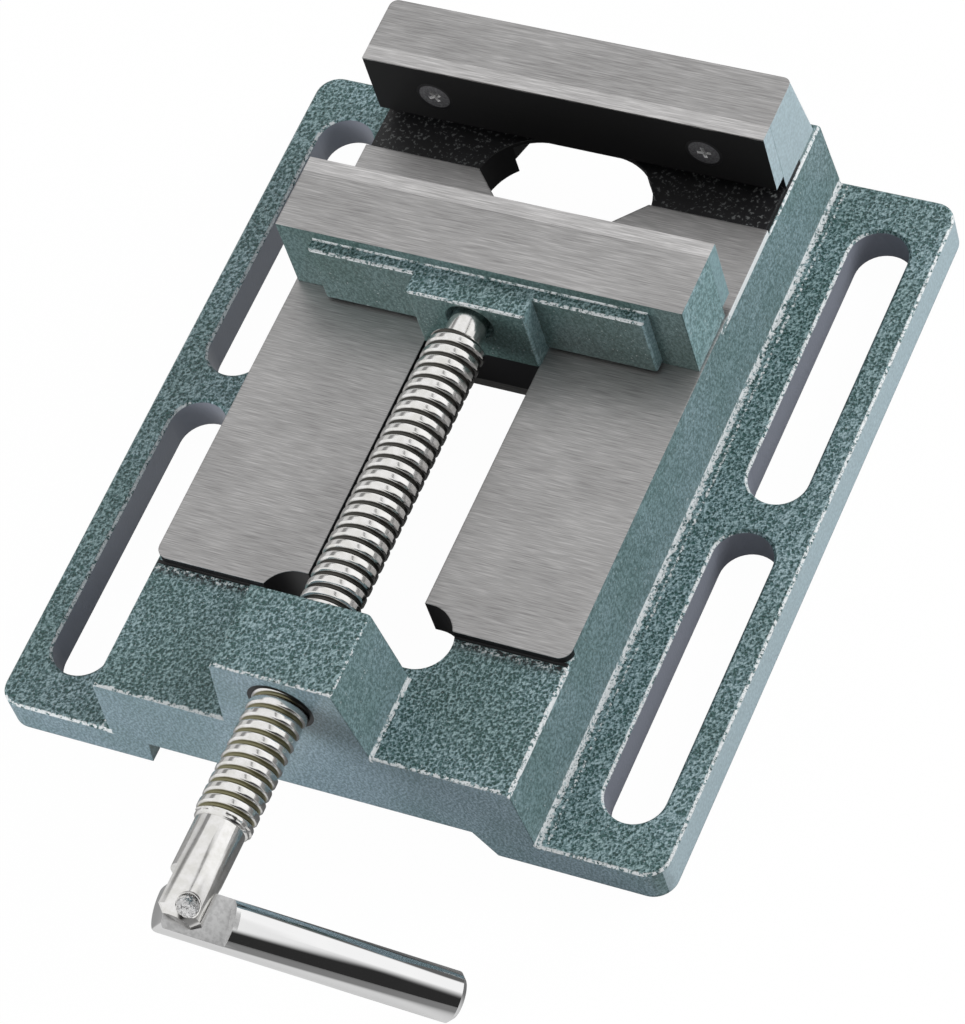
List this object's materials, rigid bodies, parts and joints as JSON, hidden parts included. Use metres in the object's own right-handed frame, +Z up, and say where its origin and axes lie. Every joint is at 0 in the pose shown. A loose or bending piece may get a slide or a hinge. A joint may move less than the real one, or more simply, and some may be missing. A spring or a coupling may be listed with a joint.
{
  "type": "drill press vise",
  "caption": "Flat slotted-base machine vise: a jaw slides along two ways on a lead screw with a riveted folding handle, against a fixed jaw.",
  "frame": {"origin": "middle of the base's footprint, on the table plane", "axes": "+X to the operator's right, +Y along the lead screw towards the fixed jaw, +Z up"},
  "size_m": [0.1664, 0.2445, 0.0546],
  "materials": {
    "hammertone_paint": "hammertone grey-green enamel with bare machined faces",
    "bare_steel": "ground steel",
    "black_steel": "blackened steel",
    "chrome": "bright chrome plate"
  },
  "bodies": {
    "base": {"base_casting": "hammertone_paint", "fixed_jaw_plate": "bare_steel", "fixed_jaw_screw_left": "black_steel", "fixed_jaw_screw_right": "black_steel"},
    "sliding_jaw": {"moving_jaw": "hammertone_paint", "moving_jaw_plate": "bare_steel", "moving_jaw_screw_left": "black_steel", "moving_jaw_screw_right": "black_steel", "keeper_plate": "bare_steel", "keeper_washer_left": "black_steel", "keeper_washer_right": "black_steel", "keeper_bolt_left": "black_steel", "keeper_bolt_right": "black_steel", "retaining_pin_left": "bare_steel", "retaining_pin_right": "bare_steel"},
    "screw": {"lead_screw": "chrome", "handle_rivet": "chrome"},
    "handle": {"handle_bar": "chrome"}
  },
  "joints": [
    {"name": "jaw_slide", "type": "slide", "parent": "base", "child": "sliding_jaw", "axis": [0, 1, 0], "range_m": [-0.07145, 0.02978]},
    {"name": "screw_spin", "type": "hinge", "parent": "sliding_jaw", "child": "screw", "pos_m": [0, 0, 0.0442], "axis": [0, 1, 0], "range_deg": [-8100, 3375]},
    {"name": "handle_fold", "type": "hinge", "parent": "screw", "child": "handle", "pos_m": [0, -0.1453, 0.0442], "axis": [0.6225, 0, 0.7826], "range_deg": [-207, 1]}
  ],
  "couplings": [
    {"joint": "jaw_slide", "follows": "screw_spin", "m_per_rad": 0.00050532}
  ]
}
